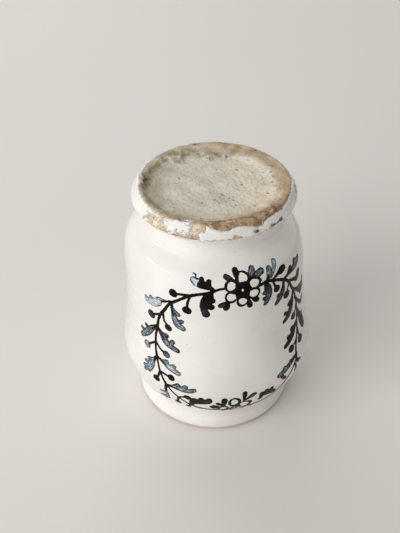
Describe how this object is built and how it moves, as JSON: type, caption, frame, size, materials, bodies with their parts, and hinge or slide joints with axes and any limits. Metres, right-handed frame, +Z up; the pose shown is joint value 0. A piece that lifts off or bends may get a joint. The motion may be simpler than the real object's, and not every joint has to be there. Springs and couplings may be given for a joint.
{
  "type": "ceramic drug jar",
  "caption": "Waisted tin-glazed earthenware drug jar with a flared foot, standing on its open mouth, outside coat ending in a ragged edge at the bare chipped foot.",
  "frame": {"origin": "centre of the jar's bounding box at floor level, under the open mouth, as it stands in the picture", "axes": "+Z up along the jar's axis, from the open mouth at the floor to the foot; -Y is the painted front; in use the jar is turned upside down onto its foot"},
  "size_m": [0.0984, 0.0984, 0.13],
  "materials": {
    "clay": "unglazed fired clay, matt and porous",
    "outer_coat": "opaque white tin glaze, glossy",
    "inner_coat": "thin cream glaze, glossy",
    "paint": "manganese black and blue pigment fired into the glaze, glossy"
  },
  "bodies": {
    "root": {"biscuit_body": "clay", "outer_glaze": "outer_coat", "inner_glaze": "inner_coat", "painted_wreath": "paint"}
  },
  "joints": []
}
